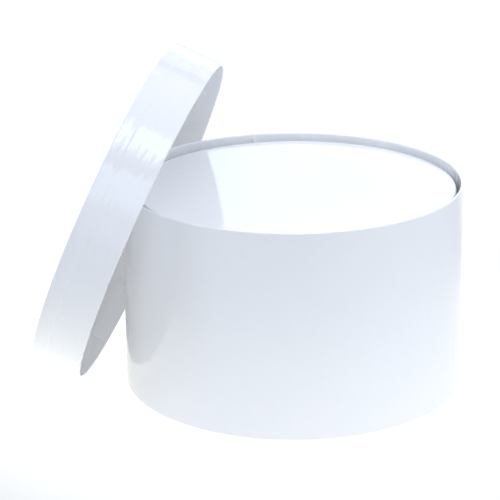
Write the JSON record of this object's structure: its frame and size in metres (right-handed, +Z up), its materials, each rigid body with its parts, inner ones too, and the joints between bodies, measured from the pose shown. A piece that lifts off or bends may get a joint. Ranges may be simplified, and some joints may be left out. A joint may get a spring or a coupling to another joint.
{
  "type": "flower box",
  "caption": "Nested pair of round lidded flower boxes in glossy white paper over board, the outer lid leaning against its box.",
  "frame": {"origin": "centre of the outer box's base, on the surface it stands on", "axes": "+Z up along the outer box's axis; -X is the side where the lid leans, and -Y is the front"},
  "size_m": [0.2524, 0.2114, 0.2],
  "materials": {
    "gloss_paper": "gloss laminated white paper",
    "lining_paper": "uncoated white paper",
    "greyboard": "bare greyboard",
    "gummed_tape": "buff gummed paper tape"
  },
  "bodies": {
    "outer_box": {"outer_box_wall_board": "greyboard", "outer_box_wall_tape": "gummed_tape", "outer_box_base_board": "greyboard", "outer_box_wall_lining": "lining_paper", "outer_box_base_lining": "lining_paper", "outer_box_wall_wrap": "gloss_paper", "outer_box_base_paper": "gloss_paper"},
    "outer_lid": {"outer_lid_rim_board": "greyboard", "outer_lid_rim_tape": "gummed_tape", "outer_lid_top_board": "greyboard", "outer_lid_rim_lining": "lining_paper", "outer_lid_top_lining": "lining_paper", "outer_lid_top_paper": "gloss_paper", "outer_lid_rim_wrap": "gloss_paper"},
    "inner_box": {"inner_box_wall_board": "greyboard", "inner_box_wall_tape": "gummed_tape", "inner_box_base_board": "greyboard", "inner_box_wall_lining": "lining_paper", "inner_box_base_lining": "lining_paper", "inner_box_wall_wrap": "gloss_paper", "inner_box_base_paper": "gloss_paper"},
    "inner_lid": {"inner_lid_rim_board": "greyboard", "inner_lid_rim_tape": "gummed_tape", "inner_lid_top_board": "greyboard", "inner_lid_rim_lining": "lining_paper", "inner_lid_top_lining": "lining_paper", "inner_lid_top_paper": "gloss_paper", "inner_lid_rim_wrap": "gloss_paper"}
  },
  "joints": [
    {"name": "outer_lid_tip", "type": "hinge", "parent": "outer_box", "child": "outer_lid", "pos_m": [-0.14619, 0.01661, 0.00502], "axis": [-0.1668, -0.986, 0], "range_deg": [0, 112.7]},
    {"name": "inner_box_lift", "type": "slide", "parent": "outer_box", "child": "inner_box", "axis": [0, 0, 1], "range_m": [0, 0.125]},
    {"name": "inner_lid_lift", "type": "slide", "parent": "inner_box", "child": "inner_lid", "axis": [0, 0, 1], "range_m": [0, 0.045]}
  ],
  "couplings": [
    {"joint": "inner_box_lift", "follows": "outer_lid_tip", "m_per_rad": 0.0635},
    {"joint": "inner_lid_lift", "follows": "outer_lid_tip", "m_per_rad": 0.0228}
  ]
}
